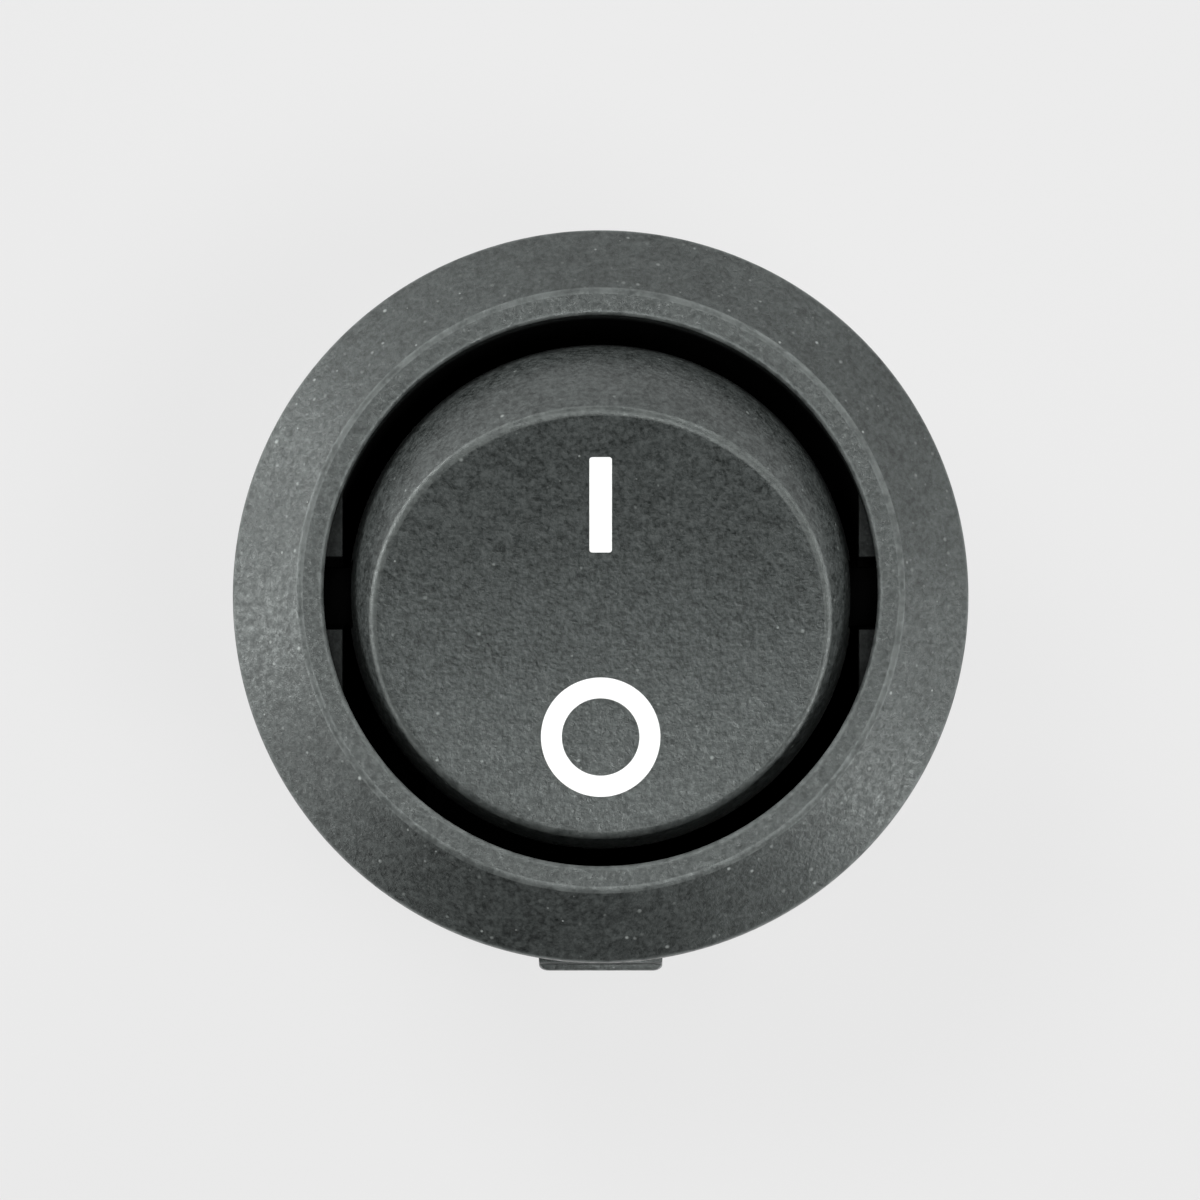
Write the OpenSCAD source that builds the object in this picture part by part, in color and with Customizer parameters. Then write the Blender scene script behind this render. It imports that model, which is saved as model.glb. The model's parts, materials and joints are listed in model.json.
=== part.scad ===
// Round snap-in panel rocker switch, two poles, on-off.
// Sizes in mm. Origin: centre of the seat under the bezel, where the panel lies.
// +Z points out of the panel, +Y to the "I" end of the rocker, X along its pivot.
// The switch is drawn off: the "O" end of the rocker is pressed in.

/* [Bezel] */
// Outer diameter of the bezel
bezel_d = 23; // [22.8:0.1:25]
// Height of the upright rim of the bezel
rim_h = 0.4; // [0.25:0.05:0.8]
// Height of the bezel's land above the panel
bezel_h = 2.2; // [1.9:0.1:2.8]
// Width of the flat land round the opening
land_w = 0.76; // [0.6:0.02:1]
// Rounding of the ridge between the land and the slope
ridge_round = 0.3; // [0.1:0.05:0.5]
// Rounding of the rim and of the opening's edge
edge_round = 0.12; // [0.05:0.01:0.18]

/* [Barrel] */
// Diameter of the barrel that fills the panel cut-out
barrel_d = 20; // [19.6:0.1:20.6]
// Wall of the barrel
barrel_wall = 1.36; // [1.2:0.02:1.5]
// Depth of the barrel behind the panel
body_depth = 13; // [12.6:0.1:15]
// Thickness of the floor that holds the terminals
floor_t = 2.4; // [1.6:0.1:2.6]
// Chamfer round the foot of the barrel
foot_chamfer = 0.6; // [0.2:0.1:1]
// Width of the rib that keys the barrel in the cut-out
key_w = 2.1; // [1.5:0.1:3]
// Height of the key rib above the barrel
key_h = 0.7; // [0.4:0.05:0.9]
// Length of the key rib below the panel
key_len = 8; // [4:0.5:10]

/* [Snap arms] */
// Width of a snap arm
arm_w = 3.88; // [3:0.05:5]
// Distance that an arm's crest stands out from the barrel
arm_crest = 1.38; // [1:0.02:1.45]
// Depth of the crest below the panel seat
crest_depth = 4.2; // [3.6:0.1:5]
// Depth of the arm's tip below the panel seat
arm_tip_depth = 1; // [0.8:0.1:1.4]
// Depth at which an arm grows out of the barrel
arm_root_depth = 9.4; // [8.4:0.1:10]
// Thickness of an arm
arm_t = 0.95; // [0.8:0.05:1.1]
// Thickness of an arm at its tip
arm_tip_t = 0.62; // [0.5:0.02:0.75]
// Distance that an arm's tip stands out from the barrel
arm_tip_out = 0.5; // [0.4:0.02:0.6]
// Number of gripping steps above the crest
arm_steps = 5; // [3:1:7]
// Slot left free round an arm
arm_slot = 0.4; // [0.3:0.05:0.6]
// Rounding of the crest's corners
arm_round = 0.3; // [0.1:0.05:0.5]
// Wall left behind an arm
recess_wall = 0.46; // [0.4:0.02:0.6]
// Depth of the relief in the seat above an arm
seat_relief = 0.15; // [0.1:0.05:0.25]

/* [Rocker] */
// Angle between the rocker and the panel when it is switched
rocker_tilt = 18; // [14:0.5:19]
// Radial gap between the rocker and the opening
rocker_gap = 0.76; // [0.6:0.02:0.9]
// Height of the middle of the finger dish above the pivot
dish_h = 3.32; // [3:0.02:3.6]
// Radius of the finger dish
dish_r = 36; // [30:1:60]
// Wall of the rocker
rocker_wall = 1.1; // [0.9:0.05:1.3]
// Distance that the skirt reaches below the pivot
skirt_drop = 1.6; // [1.3:0.05:1.8]
// Thickness of the web between the rocker's bosses
web_t = 1.2; // [0.8:0.1:1.6]

/* [Marks] */
// Distance from the middle of each mark to the rocker's outer radius
mark_inset = 4.18; // [3.7:0.02:4.6]
// Length of the bar of the "I"
bar_len = 3.1; // [2:0.05:3.4]
// Width of the bar of the "I"
bar_w = 0.7; // [0.4:0.02:1]
// Rounding of the bar's corners
bar_round = 0.08; // [0.05:0.01:0.15]
// Outer diameter of the ring of the "O"
ring_d = 3.72; // [2.5:0.02:4]
// Width of the ring's line
ring_w = 0.65; // [0.4:0.01:0.9]
// Depth of the white marks in the rocker
mark_t = 0.25; // [0.15:0.01:0.4]

/* [Pivot] */
// Diameter of the rocker's trunnions
trunnion_d = 1.8; // [1.6:0.05:2.2]
// Radial clearance of the trunnions in the housing
pivot_clearance = 0.05; // [0.02:0.01:0.09]
// Distance that the trunnions reach into the barrel's wall
trunnion_bite = 0.56; // [0.45:0.01:0.65]
// Free space past the end of a trunnion
pivot_end_gap = 0.15; // [0.1:0.01:0.2]
// Depth in the barrel's wall of the groove that lets a trunnion in from the front
entry_groove = 0.41; // [0.3:0.01:0.44]
// Play of a trunnion in its entry groove, to each side
groove_play = 0.25; // [0.15:0.01:0.35]
// Distance of the entry groove below the land
groove_start = 0.5; // [0.3:0.05:0.7]
// Gap between the rocker's side and the pads that carry its pivots
side_gap = 0.18; // [0.12:0.01:0.3]
// Distance of the pads below the land
pad_start = 1; // [0.8:0.05:1.1]
// Distance that the pads reach below the pivot
pad_drop = 2; // [1.5:0.1:3]

/* [Plungers and springs] */
// Distance between the two poles
pole_pitch = 7.4; // [7.2:0.1:7.6]
// Diameter of a plunger
plunger_d = 2.4; // [2:0.05:2.5]
// Radial clearance of a plunger in its boss
plunger_clearance = 0.05; // [0.02:0.01:0.09]
// Distance from the pivot to the plunger's tip in the middle of the travel
plunger_reach = 6; // [5.8:0.05:6.2]
// Length of a plunger from its tip to its shoulder
plunger_len = 3.8; // [3.4:0.05:4.2]
// Height of the spigot that centres the spring on the plunger
spigot_h = 0.7; // [0.4:0.05:1]
// Wall of the boss round a plunger
boss_wall = 0.6; // [0.5:0.02:0.64]
// Distance that the bosses reach below the pivot
boss_drop = 4.2; // [3.8:0.05:4.4]
// Depth of the bore in a boss
bore_depth = 5.4; // [4.8:0.05:5.6]
// Diameter of the spring's wire
spring_wire_d = 0.3; // [0.2:0.01:0.32]
// Turns of a spring
spring_turns = 7; // [6:1:8]
// Gap between a spring's closed end turns
closed_gap = 0.03; // [0.02:0.01:0.06]
// Clearance between a spring and the bore round it
spring_clearance = 0.2; // [0.15:0.01:0.25]

/* [Contact blades] */
// Width of a blade
blade_w = 3.4; // [3:0.05:3.6]
// Thickness of a blade
blade_t = 0.4; // [0.3:0.01:0.5]
// Angle that each arm of a blade is bent up by
blade_bend = 9; // [7:0.5:9.5]
// Inner radius of the bend
bend_r = 0.3; // [0.2:0.02:0.4]
// Free play between plunger and blade in the middle of the travel
blade_play = 0.08; // [0.07:0.01:0.12]
// Length of the arm that meets the stop
stop_arm = 5; // [4.8:0.05:5.4]
// Width of the waist over the fulcrum
waist_w = 2; // [1.6:0.05:2.2]
// Half the length of the waist
waist_len = 0.6; // [0.55:0.05:0.8]
// Rounding of a blade's corners
blade_round = 0.5; // [0.2:0.05:0.8]

/* [Contacts] */
// Diameter of a contact's face
contact_d = 2.2; // [1.8:0.05:2.4]
// Height of a contact's head
contact_h = 0.6; // [0.5:0.02:0.7]
// Radius of the moving contact's domed face
dome_r = 4; // [3:0.5:8]
// Radius of the fixed contact's nearly flat face
flat_dome_r = 24; // [12:1:40]
// Diameter of a contact's stem
stem_d = 1.2; // [1:0.05:1.3]
// Diameter of the upset end of a stem
upset_d = 1.7; // [1.5:0.05:1.8]
// Height of the upset end of a stem
upset_h = 0.2; // [0.15:0.01:0.25]
// Width of sheet left free round a contact
contact_margin = 0.2; // [0.1:0.05:0.3]

/* [Terminals] */
// Width of a terminal tab
tab_w = 4.8; // [4.6:0.05:5]
// Thickness of a terminal
tab_t = 0.8; // [0.7:0.01:0.9]
// Length of a tab below the barrel
tab_len = 8; // [6.5:0.1:10]
// Corner cut at a tab's tip
tab_corner = 0.9; // [0.5:0.05:1.2]
// Length of the bevel at a tab's tip
tab_bevel = 0.7; // [0.4:0.05:1]
// Diameter of the eye in a tab
eye_d = 1.4; // [1:0.05:1.8]
// Distance of the eye from a tab's tip
eye_up = 3.2; // [2.5:0.05:4]
// Distance of the load terminals from the pivot plane
load_y = 5.6; // [5.4:0.02:5.62]
// Width of a load terminal's tongue
tongue_w = 3.6; // [3:0.05:4]
// Inner radius of a load terminal's bend
terminal_bend = 0.3; // [0.2:0.02:0.4]
// Width of the shoulders that a common terminal sits on
shoulder_w = 5.8; // [5.4:0.05:6]
// Height of the shoulders
shoulder_h = 1.2; // [0.8:0.05:1.6]
// Width of each ear beside a blade's waist
ear_w = 1; // [0.7:0.05:1.1]
// Height of the ears above the blade
ear_h = 0.35; // [0.2:0.01:0.4]
// Distance that a lance stands out under the floor
lance_out = 0.3; // [0.2:0.02:0.4]
// Length of a lance
lance_len = 1.3; // [0.8:0.05:1.6]
// Width of a lance
lance_w = 1.4; // [1:0.05:2]

/* [Inside walls] */
// Thickness of the wall between the poles
barrier_t = 1; // [0.8:0.05:1.2]
// Distance that the wall between the poles reaches to each side
barrier_reach = 7.4; // [6.4:0.1:7.6]
// Thickness of the rib that stops the blades
stop_t = 1; // [0.8:0.05:1.2]
// Distance from the pivot plane to the middle of the stop rib
stop_y = 4.5; // [4.2:0.05:4.6]

/* [Clearances] */
// Gap between a moving piece and the face that stops it
seat_gap = 0.03; // [0.02:0.01:0.04]
// Gap round a terminal in its slot
slot_gap = 0.05; // [0.03:0.01:0.08]
// Gap between an ear and the blade's waist
ear_gap = 0.08; // [0.05:0.01:0.12]
// Gap between a white mark and its recess
mark_gap = 0.01; // [0.005:0.005:0.02]
// Gap between a stem and its hole
stem_gap = 0.02; // [0.01:0.01:0.04]
// Free height over the wall between the poles
barrier_gap = 0.4; // [0.3:0.05:0.6]

/* [Hidden] */
left = -1;
right = 1;
$fn = 96;
over = 1; // cutting tools reach this far past a face

bezel_r = bezel_d / 2;
barrel_r = barrel_d / 2;
cavity_r = barrel_r - barrel_wall;
land_r = cavity_r + land_w;
floor_z = floor_t - body_depth;

rocker_r = cavity_r - rocker_gap;
trunnion_r = trunnion_d / 2;
trunnion_end = cavity_r + trunnion_bite;
plunger_r = plunger_d / 2;
bore_r = plunger_r + plunger_clearance;
bore_top = bore_depth - boss_drop;
plunger_top = plunger_len - plunger_reach;
mark_offset = rocker_r - mark_inset;
skirt_angle = rocker_tilt + asin(skirt_drop / rocker_r);
barrier_top = -rocker_r * sin(skirt_angle) - barrier_gap;

outer_bend_r = bend_r + blade_t;
blade_axis = bend_r - plunger_reach - blade_play;
fulcrum_z = blade_axis - outer_bend_r - seat_gap;
fixed_face = blade_axis - outer_bend_r - contact_h - seat_gap;
tongue_z = fixed_face - contact_h;
contact_y = load_y - tab_t / 2 - terminal_bend - upset_d / 2 - slot_gap;
contact_arm = contact_y + contact_d / 2 + contact_margin;
tongue_end = contact_y - contact_d / 2 - contact_margin;
eye_z = -body_depth - tab_len + eye_up;

function unit(v) = v / norm(v);

// Points of an arc of radius r that rounds the corner b between a and c
function round_corner(a, b, c, r, steps = 4) =
  let (
    to_a = unit(a - b),
    to_c = unit(c - b),
    half = acos(to_a * to_c) / 2,
    middle = b + unit(to_a + to_c) * r / sin(half),
    first = b + to_a * r / tan(half) - middle,
    last = b + to_c * r / tan(half) - middle
  )
  [for (i = [0 : steps]) middle + r * unit(first * (steps - i) + last * i)];

// Outline of [x, y, rounding] points
function outline(points) =
  let (n = len(points), at = [for (p = points) [p[0], p[1]]])
  [for (i = [0 : n - 1])
    each points[i][2] == 0
      ? [at[i]]
      : round_corner(at[(i + n - 1) % n], at[i], at[(i + 1) % n], points[i][2])];

module rounded_rect(size, r) {
  square([size[0] - 2 * r, size[1]], center = true);
  square([size[0], size[1] - 2 * r], center = true);
  for (x = [-1, 1], y = [-1, 1])
    translate([x * (size[0] / 2 - r), y * (size[1] / 2 - r)]) circle(r);
}

// Extrudes an outline drawn in Y and Z along X
module along_x(length) rotate([90, 0, 90]) linear_extrude(length, center = true) children();

// Extrudes an outline drawn in X and Z along Y
module along_y(length) rotate([90, 0, 0]) linear_extrude(length, center = true) children();

module at_pole(side) translate([side * pole_pitch / 2, 0, 0]) children();

module on_rocker() rotate([rocker_tilt, 0, 0]) children();

module both_ends() for (turn = [0, 180]) rotate([0, 0, turn]) children();

// The housing is one moulding: bezel, barrel, snap arms and inside walls

module moulded_body() {
  rotate_extrude() polygon(outline([
    [0, -body_depth, 0],
    [barrel_r - foot_chamfer, -body_depth, 0],
    [barrel_r, foot_chamfer - body_depth, 0],
    [barrel_r, 0, 0],
    [bezel_r, 0, 0],
    [bezel_r, rim_h, edge_round],
    [land_r, bezel_h, ridge_round],
    [0, bezel_h, 0]
  ]));
  key_rib();
}

module key_rib() {
  along_y(key_w) polygon([
    [barrel_r - barrel_wall / 2, 0],
    [barrel_r + key_h, 0],
    [barrel_r + key_h, key_h - key_len],
    [barrel_r - barrel_wall / 2, -key_len - barrel_wall / 2]
  ]);
}

module cavity() {
  translate([0, 0, floor_z]) cylinder(r = cavity_r, h = bezel_h - floor_z + over);
  mouth_rounding();
}

// Rounds the edge of the opening
module mouth_rounding() {
  rotate_extrude() difference() {
    translate([cavity_r - edge_round, bezel_h - edge_round]) square([2 * edge_round, 2 * edge_round]);
    translate([cavity_r + edge_round, bezel_h - edge_round]) circle(edge_round, $fn = 48);
  }
}

// Pad that thickens the cavity's wall round a pivot, flat towards the rocker's side
module pivot_pad() {
  translate([0, 0, -pad_drop])
    linear_extrude(bezel_h - pad_start + pad_drop) intersection() {
      circle(cavity_r + barrel_wall / 2);
      translate([rocker_r + side_gap, -barrel_r]) square([rocker_gap + barrel_wall, barrel_d]);
    }
}

// Pocket for a trunnion and the groove that it comes in by
module pivot_pocket() {
  groove_w = trunnion_d + 2 * groove_play;
  rotate([0, 90, 0])
    translate([0, 0, rocker_r])
      cylinder(h = trunnion_end + pivot_end_gap - rocker_r, r = trunnion_r + pivot_clearance);
  translate([rocker_r, -groove_w / 2, 0])
    cube([cavity_r + entry_groove - rocker_r, groove_w, bezel_h - groove_start]);
}

function crest_r() = barrel_r + arm_crest;
function step_h() = (crest_depth - arm_tip_depth) / (arm_steps + 0.5);
function step_in() = (arm_crest - arm_tip_out) / arm_steps;

// Side view of a snap arm: lead-in slope, crest and gripping steps
module arm_profile() {
  tip_r = barrel_r + arm_tip_out;
  steps = [for (i = [0 : arm_steps - 1])
    each [
      [crest_r() - i * step_in(), -crest_depth + (i + 0.5) * step_h()],
      [crest_r() - (i + 1) * step_in(), -crest_depth + (i + 0.5) * step_h()]
    ]];
  polygon(concat(
    [
      [barrel_r - arm_t, -arm_root_depth - barrel_wall],
      [barrel_r - 0.01, -arm_root_depth - barrel_wall],
      [crest_r(), -crest_depth]
    ],
    steps,
    [
      [tip_r, -arm_tip_depth],
      [tip_r - arm_tip_t, -arm_tip_depth],
      [crest_r() - arm_t, -crest_depth],
      [barrel_r - arm_t, -arm_root_depth]
    ]
  ));
}

module snap_arm() {
  intersection() {
    along_x(arm_w) arm_profile();
    translate([0, 0, -body_depth])
      linear_extrude(body_depth)
        translate([0, crest_r() - barrel_r / 2]) rounded_rect([arm_w, barrel_r], arm_round);
  }
}

// Recess that a snap arm folds into, with the relief above it in the panel seat
module arm_recess() {
  width = arm_w + 2 * arm_slot;
  recess_r = cavity_r + recess_wall;
  relief_r = bezel_r - (bezel_r - barrel_r) / 3;
  translate([-width / 2, recess_r, -arm_root_depth]) cube([width, barrel_wall + over, arm_root_depth]);
  translate([-width / 2, recess_r, -over]) cube([width, relief_r - recess_r, over + seat_relief]);
}

// Walls in the cavity: between the poles, under the blades' stops and under the tongues
module inside_walls() {
  support_y = contact_y + upset_d / 2;
  intersection() {
    translate([0, 0, floor_z - over]) cylinder(r = cavity_r + barrel_wall / 2, h = body_depth);
    union() {
      translate([-barrier_t / 2, -barrier_reach, floor_z - over])
        cube([barrier_t, 2 * barrier_reach, barrier_top - floor_z + over]);
      translate([-barrel_r, stop_y - stop_t / 2, floor_z - over])
        cube([barrel_d, stop_t, fulcrum_z - floor_z + over]);
      for (side = [left, right])
        at_pole(side)
          translate([-tongue_w / 2, -support_y, floor_z - over])
            cube([tongue_w, support_y - tongue_end, tongue_z - tab_t - seat_gap - floor_z + over]);
    }
  }
}

module terminal_slots() {
  for (side = [left, right], y = [0, -load_y])
    at_pole(side)
      translate([0, y, -body_depth])
        cube([tab_w + 2 * slot_gap, tab_t + 2 * slot_gap, 2 * (floor_t + slot_gap)], center = true);
}

// Room for the upset ends of the fixed contacts
module upset_pockets() {
  for (side = [left, right])
    at_pole(side)
      translate([0, -contact_y, tongue_z - tab_t - 2 * upset_h])
        cylinder(r = upset_d / 2 + slot_gap, h = 2 * upset_h + over / 2);
}

module housing() color([0.2, 0.21, 0.21]) {
  difference() {
    union() {
      difference() {
        moulded_body();
        cavity();
        both_ends() arm_recess();
      }
      both_ends() snap_arm();
      both_ends() pivot_pad();
      inside_walls();
    }
    both_ends() pivot_pocket();
    terminal_slots();
    upset_pockets();
  }
}

// The rocker is a dished cap with bosses, web and trunnions

// Cylinder that the finger dish is part of, grown by a depth
module dish(depth) {
  translate([0, 0, dish_h + dish_r])
    rotate([0, 90, 0]) cylinder(r = dish_r + depth, h = 2 * rocker_r + over, center = true);
}

module rocker_form() {
  difference() {
    sphere(rocker_r);
    dish(0);
    translate([0, 0, -rocker_r - skirt_drop]) cube(2 * rocker_r, center = true);
  }
}

module rocker_hollow() {
  difference() {
    sphere(rocker_r - rocker_wall);
    dish(rocker_wall);
  }
}

module rocker_ribs() {
  web_drop = trunnion_r + (skirt_drop - trunnion_r) / 2;
  intersection() {
    sphere(rocker_r - rocker_wall / 2);
    translate([-rocker_r, -web_t / 2, -web_drop]) cube([2 * rocker_r, web_t, web_drop + dish_h - rocker_wall / 2]);
  }
  for (side = [left, right])
    at_pole(side)
      translate([0, 0, -boss_drop])
        cylinder(r = bore_r + boss_wall, h = boss_drop + dish_h - rocker_wall / 2);
}

module trunnions() {
  both_ends()
    rotate([0, 90, 0])
      translate([0, 0, rocker_r - rocker_wall / 2])
        cylinder(r = trunnion_r, h = trunnion_end - rocker_r + rocker_wall / 2);
}

// The part of an outline that lies in the rocker's face, down to the given depth
module mark_layer(depth) {
  intersection() {
    difference() {
      linear_extrude(dish_h + over) children();
      dish(0);
    }
    dish(depth);
  }
}

module bar_outline(gap = 0) {
  translate([0, mark_offset]) rounded_rect([bar_w + 2 * gap, bar_len + 2 * gap], bar_round + gap);
}

module ring_outline(gap = 0) {
  translate([0, -mark_offset]) difference() {
    circle(ring_d / 2 + gap);
    circle(ring_d / 2 - ring_w - gap);
  }
}

module on_mark() color("white") on_rocker() mark_layer(mark_t) bar_outline();

module off_mark() color("white") on_rocker() mark_layer(mark_t) ring_outline();

module rocker() color([0.17, 0.18, 0.18]) on_rocker() {
  difference() {
    union() {
      difference() {
        rocker_form();
        rocker_hollow();
      }
      rocker_ribs();
      trunnions();
    }
    for (side = [left, right])
      at_pole(side)
        translate([0, 0, -boss_drop - over]) cylinder(r = bore_r, h = bore_depth + over);
    mark_layer(mark_t + mark_gap) bar_outline(mark_gap);
    mark_layer(mark_t + mark_gap) ring_outline(mark_gap);
  }
}

// Height of a spring's wire after a number of turns, with a closed turn at each end
function coil_height(turn, length) =
  let (
    closed_pitch = spring_wire_d + closed_gap,
    free_pitch = (length - 2 * closed_pitch) / (spring_turns - 2)
  )
  turn < 1 ? turn * closed_pitch
  : turn > spring_turns - 1 ? length - (spring_turns - turn) * closed_pitch
  : closed_pitch + (turn - 1) * free_pitch;

module coil_spring(mean_r, length) {
  per_turn = 16;
  sides = 6;
  rings = spring_turns * per_turn;
  points = [for (i = [0 : rings], j = [0 : sides - 1])
    let (
      around = 360 * i / per_turn,
      section = 360 * j / sides,
      r = mean_r + spring_wire_d / 2 * cos(section)
    )
    [r * cos(around), r * sin(around),
      coil_height(i / per_turn, length - spring_wire_d) + spring_wire_d / 2 * (1 + sin(section))]];
  skin = [for (i = [0 : rings - 1], j = [0 : sides - 1])
    let (next = (j + 1) % sides)
    [i * sides + j, i * sides + next, (i + 1) * sides + next, (i + 1) * sides + j]];
  first_end = [for (j = [0 : sides - 1]) sides - 1 - j];
  last_end = [for (j = [0 : sides - 1]) rings * sides + j];
  polyhedron(points, concat(skin, [first_end, last_end]), convexity = 10);
}

module contact_spring(side) color("silver") on_rocker() at_pole(side)
  translate([0, 0, plunger_top + seat_gap])
    coil_spring(bore_r - spring_clearance - spring_wire_d / 2, bore_top - plunger_top - 2 * seat_gap);

module plunger(side) color("goldenrod") on_rocker() at_pole(side)
  rotate_extrude() {
    spigot_r = plunger_r - spring_clearance - spring_wire_d - seat_gap;
    translate([0, plunger_r - plunger_reach]) intersection() {
      circle(plunger_r);
      translate([0, -plunger_r]) square(plunger_r);
    }
    translate([0, plunger_r - plunger_reach]) square([plunger_r, plunger_len - plunger_r]);
    polygon(outline([
      [0, plunger_top - seat_gap, 0],
      [spigot_r, plunger_top - seat_gap, 0],
      [spigot_r, plunger_top + spigot_h, spigot_r / 3],
      [0, plunger_top + spigot_h, 0]
    ]));
  }

// Flat arm of a blade from the bend outwards along +Y
module blade_arm(length, hole) {
  translate([0, 0, -outer_bend_r]) linear_extrude(blade_t) difference() {
    union() {
      translate([0, (waist_len + length) / 2]) rounded_rect([blade_w, length - waist_len], blade_round);
      translate([-waist_w / 2, 0]) square([waist_w, waist_len + blade_round]);
    }
    if (hole) translate([0, contact_y]) circle(stem_d / 2 + stem_gap, $fn = 48);
  }
}

// Places pieces on the contact arm, which is raised while the switch is off
module on_contact_arm() translate([0, 0, blade_axis]) rotate([-2 * blade_bend, 0, 0]) children();

module blade(side) color("peru") at_pole(side) {
  translate([0, 0, blade_axis]) {
    blade_arm(stop_arm, false);
    along_x(waist_w) intersection() {
      difference() {
        circle(outer_bend_r);
        circle(bend_r);
      }
      polygon([[0, 0], [0, -2 * outer_bend_r], 2 * outer_bend_r * [-sin(2 * blade_bend), -cos(2 * blade_bend)]]);
    }
  }
  on_contact_arm() mirror([0, 1, 0]) blade_arm(contact_arm, true);
}

// Rivet with its head's face at z = 0, its head and stem above, the gripped sheet between head and upset end
module contact_rivet(grip, dome) {
  intersection() {
    cylinder(r = contact_d / 2, h = contact_h);
    translate([0, 0, dome]) sphere(dome);
  }
  translate([0, 0, contact_h / 2]) cylinder(r = stem_d / 2, h = contact_h / 2 + grip + upset_h / 2, $fn = 48);
  translate([0, 0, contact_h + grip]) cylinder(r = upset_d / 2, h = upset_h);
}

module moving_contact(side) color("lightgray") at_pole(side) on_contact_arm()
  translate([0, -contact_y, -outer_bend_r - contact_h]) contact_rivet(blade_t, dome_r);

module fixed_contact(side) color("lightgray") at_pole(side)
  translate([0, -contact_y, fixed_face]) mirror([0, 0, 1]) contact_rivet(tab_t, flat_dome_r);

// Side view of a terminal's leg with the bevel at its tip and the lance under the floor
module leg_profile(top) {
  half = tab_t / 2;
  tip = -body_depth - tab_len;
  polygon([
    [-half / 2, tip],
    [half / 2, tip],
    [half, tip + tab_bevel],
    [half, top],
    [-half, top],
    [-half, tip + tab_bevel]
  ]);
}

module lance() {
  along_x(lance_w) polygon([
    [0, -body_depth - slot_gap],
    [tab_t / 2 + lance_out, -body_depth - slot_gap],
    [0, -body_depth - slot_gap - lance_len]
  ]);
}

// Front view of a tab up to the given height
module tab_outline(top) {
  tip = -body_depth - tab_len;
  half = tab_w / 2;
  difference() {
    polygon([
      [tab_corner - half, tip],
      [half - tab_corner, tip],
      [half, tip + tab_corner],
      [half, top],
      [-half, top],
      [-half, tip + tab_corner]
    ]);
    translate([0, eye_z]) circle(eye_d / 2, $fn = 48);
  }
}

module common_terminal(side) color("gold") at_pole(side) {
  seat = floor_z + seat_gap;
  slot_w = waist_w + 2 * ear_gap;
  head_w = slot_w + 2 * ear_w;
  ear_top = blade_axis - bend_r + ear_h;
  intersection() {
    along_y(2 * tab_t) {
      tab_outline(seat + shoulder_h);
      translate([-shoulder_w / 2, seat]) square([shoulder_w, shoulder_h]);
      difference() {
        translate([-head_w / 2, seat]) square([head_w, ear_top - seat]);
        translate([-slot_w / 2, fulcrum_z]) square([slot_w, over + ear_top - fulcrum_z]);
      }
    }
    along_x(2 * shoulder_w) leg_profile(ear_top);
  }
  lance();
}

module load_terminal(side) color("gold") at_pole(side) {
  bend_z = tongue_z - tab_t - terminal_bend;
  bend_y = tab_t / 2 + terminal_bend;
  translate([0, -load_y, 0]) {
    intersection() {
      along_y(2 * tab_t) {
        tab_outline(floor_z);
        translate([-tongue_w / 2, floor_z - over]) square([tongue_w, bend_z - floor_z + over]);
      }
      along_x(2 * tab_w) leg_profile(bend_z);
    }
    along_x(tongue_w) translate([bend_y, bend_z]) intersection() {
      difference() {
        circle(terminal_bend + tab_t);
        circle(terminal_bend);
      }
      translate([-terminal_bend - tab_t, 0]) square(terminal_bend + tab_t);
    }
    lance();
  }
  translate([0, 0, tongue_z - tab_t]) linear_extrude(tab_t) difference() {
    translate([0, -(load_y - bend_y + tongue_end) / 2])
      square([tongue_w, load_y - bend_y - tongue_end], center = true);
    translate([0, -contact_y]) circle(stem_d / 2 + stem_gap, $fn = 48);
  }
}

housing();
rocker();
on_mark();
off_mark();
contact_spring(left);  // left_spring
contact_spring(right);  // right_spring
plunger(left);  // left_plunger
plunger(right);  // right_plunger
blade(left);  // left_blade
blade(right);  // right_blade
moving_contact(left);  // left_moving_contact
moving_contact(right);  // right_moving_contact
fixed_contact(left);  // left_fixed_contact
fixed_contact(right);  // right_fixed_contact
common_terminal(left);  // left_common_terminal
common_terminal(right);  // right_common_terminal
load_terminal(left);  // left_load_terminal
load_terminal(right);  // right_load_terminal
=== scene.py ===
import json
import math
import bmesh
import bpy
from mathutils import Matrix, Vector


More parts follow.
